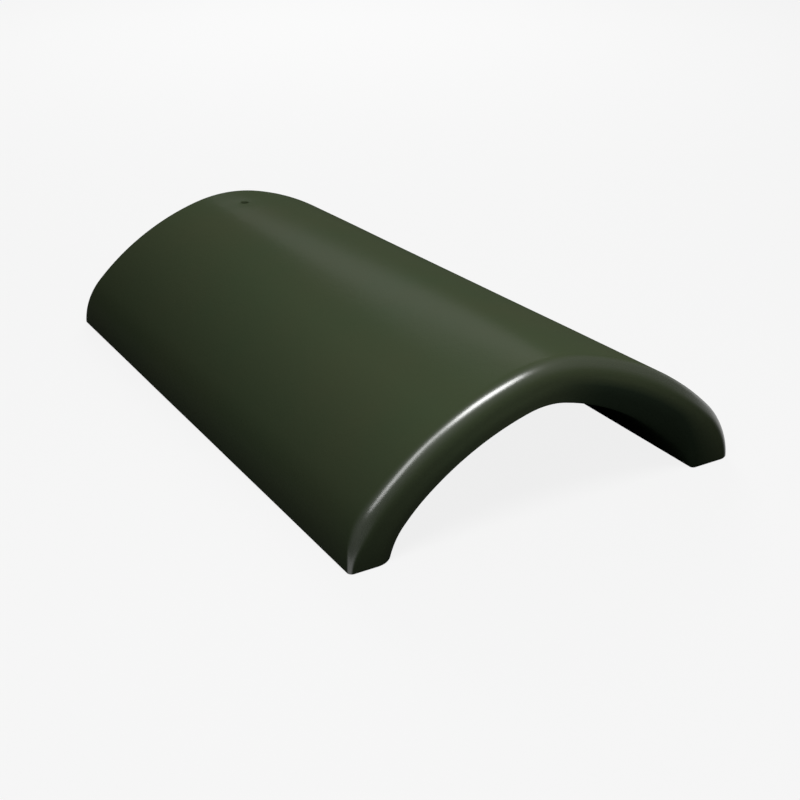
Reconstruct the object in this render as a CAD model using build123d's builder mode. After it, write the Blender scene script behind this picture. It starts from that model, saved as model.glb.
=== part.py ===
from build123d import *
from math import cos, radians, sin
import os

# Half-round ridge tile, moulded in one piece. All sizes are in millimetres.
# X runs across the roof ridge, Y along it from the rounded nose to the nailed tail, Z up.
# The origin is on the floor, under the middle of the tile's box.

# Driving dimensions
LENGTH = 420.0

# Each arch has three tangent arcs a side: a round crown, a flatter flank and a tight foot. In
# all arches the flank and the foot start at the same slopes, in degrees, so that the outside
# runs straight from nose to tail.
FLANK_SLOPE = 14.0
FOOT_SLOPE = 45.0

# Outside at the nose, before its edge is rounded
NOSE_WIDTH = 280.0
NOSE_HEIGHT = 97.0
NOSE_CROWN_RADIUS = 96.0

# Hollow underneath, the same all along the tile. Its arch is widest below the floor, so its
# sides still lean in where they reach the floor.
HOLLOW_WIDTH = 217.0
HOLLOW_HEIGHT = 65.0
HOLLOW_DROP = 10.0
HOLLOW_CROWN_RADIUS = 58.0

# Outside at the tail, where the wall round the hollow is thinnest
TAIL_LEG_WALL = 10.5
TAIL_CROWN_WALL = 15.0
TAIL_WIDTH = HOLLOW_WIDTH + 2 * TAIL_LEG_WALL
TAIL_HEIGHT = HOLLOW_HEIGHT + TAIL_CROWN_WALL
TAIL_CROWN_RADIUS = 104.0

# Ends. The nose keeps a flat face at least as wide as NOSE_FACE_MIN between its rounded edges.
NOSE_OUTER_ROUND = 11.0
NOSE_INNER_ROUND = 16.0
NOSE_FACE_MIN = 2.0
TAIL_CHAMFER = 2.0

# Nail hole
NAIL_HOLE_DIAMETER = 5.5
NAIL_HOLE_FROM_TAIL = 32.0

NOSE_Y = -LENGTH / 2
TAIL_Y = LENGTH / 2

# In a thin wall the inner round gives way to the outer one and the flat face.
nose_wall = min((NOSE_WIDTH - HOLLOW_WIDTH) / 2, NOSE_HEIGHT - HOLLOW_HEIGHT)
inner_round = min(NOSE_INNER_ROUND, nose_wall - NOSE_OUTER_ROUND - NOSE_FACE_MIN)

# The legs are drawn this far past the floor and cut off on it, which makes the feet flat.
LEG_SPARE = HOLLOW_DROP + 10.0


def outward(slope):
    """Direction that points straight out of an arch where its surface slopes by this angle."""
    return Vector(sin(radians(slope)), cos(radians(slope)))


def arch_section(y, width, height, crown_radius, drop=0.0):
    """Solid arch across the tile at one place along it, widest at the given drop below the floor."""
    crown_end = Vector(0, height - crown_radius) + outward(FLANK_SLOPE) * crown_radius
    widest = Vector(width / 2, -drop)

    # A flank and a foot of radius 1 would reach this far. Their radii are those that reach from
    # the crown's end to the widest point.
    flank_reach = outward(FOOT_SLOPE) - outward(FLANK_SLOPE)
    foot_reach = outward(90) - outward(FOOT_SLOPE)
    rest = widest - crown_end
    turn = flank_reach.cross(foot_reach).Z
    flank_radius = rest.cross(foot_reach).Z / turn
    foot_radius = flank_reach.cross(rest).Z / turn
    flank_end = crown_end + flank_reach * flank_radius

    with BuildSketch(Plane.XZ.offset(-y)) as section:
        with BuildLine():
            RadiusArc((0, height), crown_end, crown_radius)
            RadiusArc(crown_end, flank_end, flank_radius)
            RadiusArc(flank_end, widest, foot_radius)
            Polyline(widest, (width / 2, -LEG_SPARE), (0, -LEG_SPARE))
            mirror(about=Plane.YZ)
        make_face()
    return section.sketch


def over_arch(edges):
    """The edges of an end that run over the arch, without the straight ones across its legs."""
    return edges.filter_by(Plane.XZ).filter_by(Axis.X, reverse=True)


os.makedirs("parts", exist_ok=True)

with BuildPart() as ridge_tile:
    # Outside, wider and higher at the nose than at the tail.
    add(arch_section(NOSE_Y, NOSE_WIDTH, NOSE_HEIGHT, NOSE_CROWN_RADIUS))
    add(arch_section(TAIL_Y, TAIL_WIDTH, TAIL_HEIGHT, TAIL_CROWN_RADIUS))
    loft(ruled=True)
    outer_ends = over_arch(ridge_tile.edges()).group_by(Axis.Y)
    fillet(outer_ends[0], NOSE_OUTER_ROUND)
    chamfer(outer_ends[-1], TAIL_CHAMFER)

    # Hollow, open underneath and at both ends.
    add(arch_section(NOSE_Y, HOLLOW_WIDTH, HOLLOW_HEIGHT, HOLLOW_CROWN_RADIUS, HOLLOW_DROP))
    extrude(amount=LENGTH, dir=(0, 1, 0), mode=Mode.SUBTRACT)
    hollow_ends = over_arch(ridge_tile.edges(Select.LAST)).group_by(Axis.Y)
    fillet(hollow_ends[0], inner_round)
    chamfer(hollow_ends[-1], TAIL_CHAMFER)

    # Flat feet on the floor.
    split(bisect_by=Plane.XY, keep=Keep.TOP)

    # Nail hole through the crown near the tail.
    with Locations((0, TAIL_Y - NAIL_HOLE_FROM_TAIL, NOSE_HEIGHT)):
        Hole(NAIL_HOLE_DIAMETER / 2, depth=NOSE_HEIGHT)

print(ridge_tile.part.is_valid, ridge_tile.part.volume, ridge_tile.part.bounding_box())
ridge_tile.part.label = "ridge_tile"
export_step(ridge_tile.part, "parts/ridge_tile.step")
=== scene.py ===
import math
from collections import namedtuple

import bmesh
import bpy
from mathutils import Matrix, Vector, noise


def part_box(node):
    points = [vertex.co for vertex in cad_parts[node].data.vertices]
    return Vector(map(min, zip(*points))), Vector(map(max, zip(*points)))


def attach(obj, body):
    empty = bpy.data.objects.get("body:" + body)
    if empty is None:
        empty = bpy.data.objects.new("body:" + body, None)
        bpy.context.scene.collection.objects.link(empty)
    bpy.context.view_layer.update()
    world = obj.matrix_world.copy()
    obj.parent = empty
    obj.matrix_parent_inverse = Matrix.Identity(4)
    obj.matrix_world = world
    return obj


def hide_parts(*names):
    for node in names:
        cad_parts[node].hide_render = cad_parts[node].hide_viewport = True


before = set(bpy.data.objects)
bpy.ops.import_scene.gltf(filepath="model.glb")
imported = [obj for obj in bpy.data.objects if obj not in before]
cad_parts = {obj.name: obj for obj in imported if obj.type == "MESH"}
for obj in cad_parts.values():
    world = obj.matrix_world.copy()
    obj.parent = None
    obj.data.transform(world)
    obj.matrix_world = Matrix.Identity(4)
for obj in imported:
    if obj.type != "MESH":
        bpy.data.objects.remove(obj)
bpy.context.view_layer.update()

# Sizes in metres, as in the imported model. X runs across the tile, Y from nose to tail, Z up.
NODE = "ridge_tile"
LOW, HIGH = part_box(NODE)
NOSE_Y = LOW.y
TAIL_Y = HIGH.y
LENGTH = TAIL_Y - NOSE_Y

# Every arch has a crown, a flank and a foot, which start at these slopes of its surface.
FLANK_SLOPE = math.radians(14)
FOOT_SLOPE = math.radians(45)
Arch = namedtuple("Arch", "half_width height crown_radius drop")
NOSE = Arch(0.1395, 0.097, 0.096, 0.0)
TAIL = Arch(0.119, 0.080, 0.104, 0.0)
HOLLOW = Arch(0.1085, 0.065, 0.058, 0.010)

# Edges. Below the height RUN_OUT the nose's two rounds change to other sizes at the left and right foot.
OUTER_ROUND = 0.011
OUTER_ROUND_AT_FEET = (0.0035, 0.0090)
INNER_ROUND = 0.016
INNER_ROUND_AT_FEET = (0.013, 0.003)
RUN_OUT = 0.030
TAIL_ROUND = 0.002
SOLE_ROUND = 0.0012

# Nail hole, with a rounded rim, in a shallow dish
HOLE_RADIUS = 0.00275
HOLE_RIM = 0.0009
HOLE_Y = TAIL_Y - 0.032
DISH_DEPTH = 0.0004
DISH_RADIUS = 0.008

# Gentle unevenness of the coated outside
WAVE_HEIGHT = 0.00012
WAVE_LENGTH = 0.07

# Coat. The nose's outer round turns glossy and matt again between these angles. On the left the coat
# ends on the inner round, between two more. On the right it ends on the end face, and its end moves
# from one to the other between these places across the tile.
GLOSS_START = (math.radians(8), math.radians(30))
GLOSS_END = (math.radians(50), math.radians(72))
COAT_END = (math.radians(15), math.radians(40))
COAT_END_SHIFTS = (-0.02, 0.04)
Coat = namedtuple("Coat", "bare_left bare_right gloss")
COATED = Coat(0.0, 0.0, 0.0)
BARE = Coat(1.0, 1.0, 0.0)

# Colours, and the height over the soles in which painted shade darkens them
GREEN = (0.0400, 0.0560, 0.0285, 1.0)
OLIVE = (0.0450, 0.0560, 0.0290, 1.0)
BARE_COLOUR = (0.016, 0.024, 0.015, 1.0)
SOLE_SHADE_COLOUR = (0.004, 0.006, 0.003, 1.0)
SOLE_SHADE_SHARE = 0.7
SHADE_HEIGHT = 0.075

# Coat and surface
THIN_COAT = 0.014
GLOSSY_COAT = 0.9
COAT_IOR = 2.0
COAT_ROUGHNESS = 0.27
ROUGHNESS = (0.36, 0.44)
TONE_SCALE = 11.0
GRAIN_SCALE = 900.0
GRAIN_HEIGHT = 0.0002
SWELL_SCALE = 140.0
SWELL_HEIGHT = 0.0006

# Places of the colour sockets of a Mix node
MIX_A = 6
MIX_B = 7
MIX_RESULT = 2

# How finely the mesh is divided
CROWN_COLUMNS = 11
FLANK_COLUMNS = 54
FOOT_COLUMNS = 19
SOLE_COLUMNS = 4
TOP_STEP = 0.0022
UNDER_STEP = 0.008
ROUND_ROWS = 12
FACE_ROWS = 4
TAIL_ROUND_ROWS = 3
HOLE_BLOCK = 0.008
HOLE_RINGS = 5
RIM_ROWS = 3
BORE_ROWS = 3

# Camera, fitted to the tile's outline in the photograph
LENS_MM = 81.0
SENSOR_MM = 36.0
CAMERA_AZIMUTH = -0.5565
CAMERA_ELEVATION = 0.4377
CAMERA_DISTANCE = 1.0755
CAMERA_TARGET = Vector((-0.0567, NOSE_Y + 0.0797, 0.0561))

# Floor and light
FLOOR_SIZE = 8.0
FLOOR_GREY = (0.45, 0.45, 0.45, 1.0)
FLOOR_WHITE = 0.85
WHITE = (1.0, 1.0, 1.0, 1.0)
WORLD_STRENGTH = 0.16
TILE_MIDDLE = Vector((0.0, 0.0, 0.06))
Softbox = namedtuple("Softbox", "name way distance size radiance")
SOFTBOXES = (
    Softbox("back_softbox", way=(0.42, 0.78, 0.46), distance=1.4, size=(0.6, 0.5), radiance=12.0),
    Softbox("overhead_softbox", way=(-0.05, -0.41, 0.91), distance=1.0, size=(0.40, 0.32), radiance=15.0),
    Softbox("left_softbox", way=(-0.52, -0.42, 0.74), distance=1.0, size=(0.25, 0.6), radiance=5.0),
)


def outward(slope):
    """Direction out of an arch, in its own plane, where its surface has this slope."""
    return Vector((math.sin(slope), math.cos(slope)))


def arcs(arch, grow=0.0):
    """Centre, radius, first and last slope of an arch's crown, flank and foot, grown outwards."""
    crown_centre = Vector((0.0, arch.height - arch.crown_radius))
    crown_end = crown_centre + outward(FLANK_SLOPE) * arch.crown_radius
    flank_reach = outward(FOOT_SLOPE) - outward(FLANK_SLOPE)
    foot_reach = outward(math.pi / 2) - outward(FOOT_SLOPE)
    rest = Vector((arch.half_width, -arch.drop)) - crown_end
    turn = flank_reach.cross(foot_reach)
    flank_radius = rest.cross(foot_reach) / turn
    foot_radius = flank_reach.cross(rest) / turn
    flank_centre = crown_end - outward(FLANK_SLOPE) * flank_radius
    foot_centre = Vector((arch.half_width - foot_radius, -arch.drop))
    floor_slope = math.acos(arch.drop / (foot_radius + grow))
    return (
        (crown_centre, arch.crown_radius + grow, 0.0, FLANK_SLOPE),
        (flank_centre, flank_radius + grow, FLANK_SLOPE, FOOT_SLOPE),
        (foot_centre, foot_radius + grow, FOOT_SLOPE, floor_slope),
    )


def column_places():
    """Places down the right half of an arch, each an arc and a share of it, close together at the sole."""
    counts = (CROWN_COLUMNS, FLANK_COLUMNS, FOOT_COLUMNS)
    places = [(arc, i / count) for arc, count in enumerate(counts) for i in range(count)]
    _, radius, first, last = arcs(NOSE)[2]
    for angle in reversed(quarter(SOLE_COLUMNS)):
        places.append((2, 1 - SOLE_ROUND * (1 - math.cos(angle)) / (radius * (last - first))))
    return places


def arch_curve(arch, grow=0.0):
    """Points over an arch with their outward directions, from the left foot to the right foot."""
    shapes = arcs(arch, grow)
    right = []
    for arc, share in column_places():
        centre, radius, first, last = shapes[arc]
        way = outward(first + (last - first) * share)
        right.append((centre + way * radius, way))
    left = [(Vector((-point.x, point.y)), Vector((-way.x, way.y))) for point, way in right[:0:-1]]
    return left + right


def quarter(count):
    """Angles of a quarter turn, both ends included."""
    return [math.pi / 2 * i / count for i in range(count + 1)]


def shares(length, step):
    """Even shares from 0 to 1 of a length, at most a step apart."""
    count = math.ceil(length / step)
    return [i / count for i in range(count + 1)]


def mix(low, high, share):
    return low + (high - low) * share


def smooth(low, high, value):
    """0 below low, 1 above high and a smooth rise between them."""
    share = min(max((value - low) / (high - low), 0.0), 1.0)
    return share * share * (3 - 2 * share)


def run_out(size, at_feet, point):
    """Size of a round at a point of its arch, which changes towards the feet."""
    left, right = at_feet
    return mix(left if point.x < 0 else right, size, smooth(0.0, RUN_OUT, point.y))


def relief(across, y):
    """Height of the outside over the plain form, never above it."""
    wave = noise.noise(Vector((across, y, 0.0)) / WAVE_LENGTH)
    height = WAVE_HEIGHT * (wave - 1)
    from_hole = math.hypot(across, y - HOLE_Y)
    return height - DISH_DEPTH * math.exp(-(from_hole / DISH_RADIUS) ** 2)


class Outside:
    """The outer surface, straight from the nose's arch to the tail's."""

    def __init__(self):
        nose, tail = arch_curve(NOSE), arch_curve(TAIL)
        self.columns = [(near, far, way) for (near, way), (far, _) in zip(nose, tail)]
        self.across = [0.0]
        for (near, _, _), (following, _, _) in zip(self.columns, self.columns[1:]):
            self.across.append(self.across[-1] + (following - near).length)
        middle = self.across[-1] / 2
        self.across = [place - middle for place in self.across]

    def round_size(self, i):
        """Size of the nose's outer round at one column."""
        return run_out(OUTER_ROUND, OUTER_ROUND_AT_FEET, self.columns[i][0])

    def point(self, i, y, inset=0.0):
        """Point of one column at a place along the tile, moved into the wall by an inset."""
        near, far, way = self.columns[i]
        flat = near.lerp(far, (y - NOSE_Y) / LENGTH) + way * (relief(self.across[i], y) - inset)
        return Vector((flat.x, y, flat.y))

    def top_row(self, share):
        """Row over the outside, at a share of the way from the nose's round to the tail's."""
        row = []
        for i, (_, _, way) in enumerate(self.columns):
            y = mix(NOSE_Y + self.round_size(i), TAIL_Y - TAIL_ROUND, share)
            row.append((self.point(i, y), Vector((way.x, 0.0, way.y))))
        return row

    def nose_row(self, angle):
        """Row round the nose's outer edge, from the outside at angle 0 to the end face."""
        row = []
        for i, (_, _, way) in enumerate(self.columns):
            size = self.round_size(i)
            y = NOSE_Y + size * (1 - math.sin(angle))
            normal = Vector((way.x, 0.0, way.y)) * math.cos(angle) - Vector((0.0, math.sin(angle), 0.0))
            row.append((self.point(i, y, size * (1 - math.cos(angle))), normal))
        return row

    def tail_row(self, angle):
        """Row round the tail's outer edge, from the end face at angle 90 degrees to the outside."""
        row = []
        for i, (_, _, way) in enumerate(self.columns):
            y = TAIL_Y - TAIL_ROUND * (1 - math.sin(angle))
            normal = Vector((way.x, 0.0, way.y)) * math.cos(angle) + Vector((0.0, math.sin(angle), 0.0))
            row.append((self.point(i, y, TAIL_ROUND * (1 - math.cos(angle))), normal))
        return row

    def height(self, x, y):
        """Height of the crown over a point of the floor."""
        share = (y - NOSE_Y) / LENGTH
        radius = mix(NOSE.crown_radius, TAIL.crown_radius, share)
        centre = mix(NOSE.height - NOSE.crown_radius, TAIL.height - TAIL.crown_radius, share)
        return centre + math.sqrt(radius ** 2 - x ** 2) + relief(x, y)


def hollow_row(y, angle=0.0, edge=0.0, at_feet=(0.0, 0.0), way_out=-1):
    """Row of the hollow, or round its edge at an end, from the hollow at angle 0 to the end face."""
    row = []
    grown = arch_curve(HOLLOW, edge * (1 - math.cos(angle)))
    for (plain, _), (point, way) in zip(arch_curve(HOLLOW), grown):
        size = run_out(edge, at_feet, plain)
        point = plain.lerp(point, size / edge) if edge else plain
        end = Vector((0.0, way_out * math.sin(angle), 0.0))
        normal = Vector((-way.x, 0.0, -way.y)) * math.cos(angle) + end
        row.append((Vector((point.x, y - way_out * size * (1 - math.sin(angle)), point.y)), normal))
    return row


def hollow_height(x, _):
    """Height of the hollow's crown over a point of the floor."""
    return HOLLOW.height - HOLLOW.crown_radius + math.sqrt(HOLLOW.crown_radius ** 2 - x ** 2)


def rounded_at_sole(point, normal):
    """The point, drawn into the wall where it is on the round edge of a foot's sole."""
    below = SOLE_ROUND - point.z
    if below <= 0:
        return point
    side = Vector((normal.x, normal.y, 0.0)).normalized()
    return point - side * (SOLE_ROUND - math.sqrt(SOLE_ROUND ** 2 - below ** 2))


def glossy(angle):
    """Coat of the nose's outer round, glossy along its middle."""
    return Coat(0.0, 0.0, smooth(*GLOSS_START, angle) * (1.0 - smooth(*GLOSS_END, angle)))


def thinning(angle):
    """Coat of the nose's inner round, which ends on it on the left."""
    return Coat(1.0 - smooth(*COAT_END, angle), 1.0, 0.0)


def face_rows(outer, inner):
    """Rows over the nose's end face, where the coat ends on the right."""
    rows = []
    for i in range(1, FACE_ROWS):
        share = i / FACE_ROWS
        row = [(a.lerp(b, share), normal) for (a, normal), (b, _) in zip(outer, inner)]
        rows.append((row, Coat(0.0, share, 0.0)))
    return rows


def wall_rows():
    """The outside, and all rows round the wall with their coats."""
    outside = Outside()
    top = [(outside.top_row(share), COATED) for share in shares(LENGTH, TOP_STEP)]
    nose = [(outside.nose_row(angle), glossy(angle)) for angle in quarter(ROUND_ROWS)[1:]]
    inner = [
        (hollow_row(NOSE_Y, angle, INNER_ROUND, INNER_ROUND_AT_FEET), thinning(angle))
        for angle in reversed(quarter(ROUND_ROWS))
    ]
    face = face_rows(nose[-1][0], inner[0][0])
    middle = len(outside.columns) // 2
    top_places = [row[middle][0].y for row, _ in top]
    near_hole = [y for y in top_places if abs(y - HOLE_Y) < HOLE_BLOCK]
    under_shares = shares(LENGTH, UNDER_STEP)[1:]
    plain = [mix(NOSE_Y + INNER_ROUND, TAIL_Y - TAIL_ROUND, share) for share in under_shares]
    apart = [y for y in plain if y < near_hole[0] - TOP_STEP or y > near_hole[-1] + TOP_STEP]
    under = [(hollow_row(y), BARE) for y in sorted(apart + near_hole)]
    turns = quarter(TAIL_ROUND_ROWS)[1:]
    tail = [(hollow_row(TAIL_Y, angle, TAIL_ROUND, (TAIL_ROUND, TAIL_ROUND), 1), BARE) for angle in turns]
    tail += [(outside.tail_row(angle), COATED) for angle in reversed(turns)]
    return outside, top[::-1] + nose + face + inner + under + tail


def add_ring_patch(mesh, loop, height, inward):
    """Joins a loop of the grid to the nail hole's rim, and returns the last ring, inside the hole."""
    rings = [loop]
    rim = HOLE_RADIUS + HOLE_RIM
    centre = Vector((0.0, HOLE_Y))
    sides = [(Vector(vert.co[:2]) - centre) for vert in loop]
    flat = [[centre + side.lerp(side.normalized() * rim, i / HOLE_RINGS) for side in sides]
            for i in range(1, HOLE_RINGS + 1)]
    drops = [0.0] * HOLE_RINGS
    for angle in quarter(RIM_ROWS)[1:]:
        radius = HOLE_RADIUS + HOLE_RIM * (1 - math.sin(angle))
        flat.append([centre + side.normalized() * radius for side in sides])
        drops.append(HOLE_RIM * (1 - math.cos(angle)))
    for places, drop in zip(flat, drops):
        rings.append([mesh.verts.new((p.x, p.y, height(p.x, p.y) + inward * drop)) for p in places])
    for outer, inner in zip(rings, rings[1:]):
        add_band(mesh, outer, inner)
    return rings[-1]


def add_band(mesh, one, other):
    """Closed band of faces between two rings."""
    for i in range(len(one)):
        k = (i + 1) % len(one)
        mesh.faces.new((one[i], one[k], other[k], other[i]))


def block_loop(grid, rows, first, last):
    """Loop of the grid round a block of rows and columns."""
    loop = [grid[rows[0]][i] for i in range(first, last)]
    loop += [grid[j][last] for j in rows[:-1]]
    loop += [grid[rows[-1]][i] for i in range(last, first, -1)]
    loop += [grid[j][first] for j in rows[:0:-1]]
    return loop


def tile_mesh():
    """Closed mesh of the tile: a grid over the arch and round its wall, flat soles and the nail hole."""
    outside, rows = wall_rows()
    mesh = bmesh.new()
    uncoated = mesh.verts.layers.float.new("uncoated")
    polished = mesh.verts.layers.float.new("polished")
    grid = [[mesh.verts.new(rounded_at_sole(*place)) for place in row] for row, _ in rows]
    for row, (_, coat) in zip(grid, rows):
        for vert in row:
            vert[uncoated] = mix(coat.bare_left, coat.bare_right, smooth(*COAT_END_SHIFTS, vert.co.x))
            vert[polished] = coat.gloss

    middle = len(outside.columns) // 2
    reach = [i for i, across in enumerate(outside.across) if abs(across) < HOLE_BLOCK]
    first, last = reach[0], reach[-1]
    crown = [row[middle][0] for row, _ in rows]
    in_block = [j for j, place in enumerate(crown) if abs(place.y - HOLE_Y) < HOLE_BLOCK]
    above = [j for j in in_block if crown[j].z > (TAIL.height + HOLLOW.height) / 2][::-1]
    below = [j for j in in_block if j not in above]
    hole_rows = [j for part in (above, below) for j in range(min(part), max(part))]
    holes = {(j, i) for j in hole_rows for i in range(first, last)}
    for j, row in enumerate(grid):
        following = grid[(j + 1) % len(grid)]
        for i in range(len(row) - 1):
            if (j, i) not in holes:
                mesh.faces.new((row[i], row[i + 1], following[i + 1], following[i]))
    mesh.faces.new([row[0] for row in grid])
    mesh.faces.new([row[-1] for row in grid[::-1]])

    upper = add_ring_patch(mesh, block_loop(grid, above, first, last), outside.height, -1)
    lower = add_ring_patch(mesh, block_loop(grid, below, first, last), hollow_height, 1)
    bore = [upper]
    for k in range(1, BORE_ROWS):
        bore.append([mesh.verts.new(a.co.lerp(b.co, k / BORE_ROWS)) for a, b in zip(upper, lower)])
    bore.append(lower)
    for one, other in zip(bore, bore[1:]):
        add_band(mesh, one, other)

    bmesh.ops.recalc_face_normals(mesh, faces=mesh.faces)
    for face in mesh.faces:
        face.smooth = len(face.verts) == 4
    data = bpy.data.meshes.new("tile_surface")
    mesh.to_mesh(data)
    mesh.free()
    return data


def add_node(tree, kind, inputs=None, **settings):
    """New shader node, whose inputs take a number, a colour or another node's output."""
    made = tree.nodes.new(kind)
    for name, value in settings.items():
        setattr(made, name, value)
    for name, value in (inputs or {}).items():
        if isinstance(value, bpy.types.NodeSocket):
            tree.links.new(value, made.inputs[name])
        else:
            made.inputs[name].default_value = value
    return made


def mix_colours(tree, share, low, high):
    inputs = {"Factor": share, MIX_A: low, MIX_B: high}
    return add_node(tree, "ShaderNodeMix", inputs, data_type="RGBA").outputs[MIX_RESULT]


def add_noise(tree, place, scale, detail):
    inputs = {"Vector": place, "Scale": scale, "Detail": detail}
    return add_node(tree, "ShaderNodeTexNoise", inputs).outputs["Fac"]


def coat_colour(tree, place, uncoated):
    """Mottled green coat, darker where it is bare, with painted shade that darkens it towards the soles.
    """
    ramp = add_node(tree, "ShaderNodeValToRGB", {"Fac": add_noise(tree, place, TONE_SCALE, 3.0)})
    green, olive = ramp.color_ramp.elements
    green.position = 0.3
    green.color = GREEN
    olive.position = 0.7
    olive.color = OLIVE
    paint = mix_colours(tree, uncoated, ramp.outputs["Color"], BARE_COLOUR)
    height = add_node(tree, "ShaderNodeSeparateXYZ", {"Vector": place}).outputs["Z"]
    # Painted shade: the colour turns darker towards the soles, standing in for the shade that falls there.
    low = add_node(
        tree, "ShaderNodeMapRange",
        {"Value": height, "From Min": 0.0, "From Max": SHADE_HEIGHT, "To Min": SOLE_SHADE_SHARE, "To Max": 0.0},
    )
    return mix_colours(tree, low.outputs["Result"], paint, SOLE_SHADE_COLOUR)


def coat_weight(tree, uncoated, polished):
    """Thin coat, thick where it is polished and none where it is bare."""
    coat = add_node(
        tree, "ShaderNodeMapRange",
        {"Value": polished, "To Min": THIN_COAT, "To Max": GLOSSY_COAT},
    )
    left = add_node(tree, "ShaderNodeMath", {0: 1.0, 1: uncoated}, operation="SUBTRACT")
    inputs = {0: coat.outputs["Result"], 1: left.outputs[0]}
    return add_node(tree, "ShaderNodeMath", inputs, operation="MULTIPLY").outputs[0]


def coated_concrete():
    """Dark olive green satin coating on fine concrete."""
    material = bpy.data.materials.new("coated_concrete")
    material.use_nodes = True
    tree = material.node_tree
    shader = tree.nodes["Principled BSDF"]
    place = add_node(tree, "ShaderNodeTexCoord").outputs["Object"]
    uncoated = add_node(tree, "ShaderNodeAttribute", attribute_name="uncoated").outputs["Fac"]
    polished = add_node(tree, "ShaderNodeAttribute", attribute_name="polished").outputs["Fac"]
    tree.links.new(coat_colour(tree, place, uncoated), shader.inputs["Base Color"])
    tree.links.new(coat_weight(tree, uncoated, polished), shader.inputs["Coat Weight"])

    grain = add_noise(tree, place, GRAIN_SCALE, 3.0)
    swell = add_noise(tree, place, SWELL_SCALE, 2.0)
    fine = add_node(tree, "ShaderNodeBump", {"Height": grain, "Strength": 0.35, "Distance": GRAIN_HEIGHT})
    broad = add_node(
        tree, "ShaderNodeBump",
        {"Height": swell, "Strength": 0.3, "Distance": SWELL_HEIGHT, "Normal": fine.outputs["Normal"]},
    )
    tree.links.new(broad.outputs["Normal"], shader.inputs["Normal"])
    smoothest, roughest = ROUGHNESS
    rough = add_node(
        tree, "ShaderNodeMapRange",
        {"Value": swell, "From Min": 0.3, "From Max": 0.7, "To Min": smoothest, "To Max": roughest},
    )
    tree.links.new(rough.outputs["Result"], shader.inputs["Roughness"])
    shader.inputs["Specular IOR Level"].default_value = 0.0
    shader.inputs["Coat IOR"].default_value = COAT_IOR
    shader.inputs["Coat Roughness"].default_value = COAT_ROUGHNESS
    return material


def add_tile():
    data = tile_mesh()
    data.materials.append(coated_concrete())
    tile = bpy.data.objects.new("tile_surface", data)
    bpy.context.scene.collection.objects.link(tile)
    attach(tile, "root")
    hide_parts(NODE)


def pale_floor():
    """Matt pale floor, which the camera and reflections see near white."""
    material = bpy.data.materials.new("pale_floor")
    material.use_nodes = True
    tree = material.node_tree
    shader = tree.nodes["Principled BSDF"]
    shader.inputs["Base Color"].default_value = FLOOR_GREY
    shader.inputs["Roughness"].default_value = 0.9
    shader.inputs["Specular IOR Level"].default_value = 0.0
    white = add_node(tree, "ShaderNodeEmission", {"Color": WHITE, "Strength": 1.0})
    rays = add_node(tree, "ShaderNodeLightPath")
    seen = rays.outputs["Is Camera Ray"]
    for other in ("Is Glossy Ray", "Is Transmission Ray"):
        inputs = {0: seen, 1: rays.outputs[other]}
        seen = add_node(tree, "ShaderNodeMath", inputs, operation="MAXIMUM").outputs[0]
    share = add_node(tree, "ShaderNodeMath", {0: seen, 1: FLOOR_WHITE}, operation="MULTIPLY")
    inputs = {0: share.outputs[0], 1: shader.outputs[0], 2: white.outputs[0]}
    blend = add_node(tree, "ShaderNodeMixShader", inputs)
    tree.links.new(blend.outputs[0], tree.nodes["Material Output"].inputs["Surface"])
    return material


def add_floor():
    bpy.ops.mesh.primitive_plane_add(size=FLOOR_SIZE)
    floor = bpy.context.object
    floor.name = "floor"
    floor.data.materials.append(pale_floor())


def add_softbox(softbox):
    """Area lamp that faces the tile from a direction, as bright per area as the radiance says."""
    light = bpy.data.lights.new(softbox.name, "AREA")
    light.shape = "RECTANGLE"
    light.size, light.size_y = softbox.size
    light.energy = softbox.radiance * math.pi * light.size * light.size_y
    lamp = bpy.data.objects.new(softbox.name, light)
    way = Vector(softbox.way).normalized()
    lamp.location = TILE_MIDDLE + way * softbox.distance
    lamp.rotation_euler = (-way).to_track_quat("-Z", "Y").to_euler()
    bpy.context.scene.collection.objects.link(lamp)


def add_world():
    world = bpy.data.worlds.new("studio")
    world.use_nodes = True
    background = world.node_tree.nodes["Background"]
    background.inputs["Color"].default_value = WHITE
    background.inputs["Strength"].default_value = WORLD_STRENGTH
    bpy.context.scene.world = world


def add_camera():
    back = Vector((
        math.sin(CAMERA_AZIMUTH) * math.cos(CAMERA_ELEVATION),
        -math.cos(CAMERA_AZIMUTH) * math.cos(CAMERA_ELEVATION),
        math.sin(CAMERA_ELEVATION),
    ))
    data = bpy.data.cameras.new("camera")
    data.lens = LENS_MM
    data.sensor_width = SENSOR_MM
    camera = bpy.data.objects.new("camera", data)
    camera.location = CAMERA_TARGET + back * CAMERA_DISTANCE
    camera.rotation_euler = back.to_track_quat("Z", "Y").to_euler()
    bpy.context.scene.collection.objects.link(camera)
    bpy.context.scene.camera = camera


add_tile()
add_floor()
for softbox in SOFTBOXES:
    add_softbox(softbox)
add_world()
add_camera()
bpy.context.scene.view_settings.view_transform = "Standard"
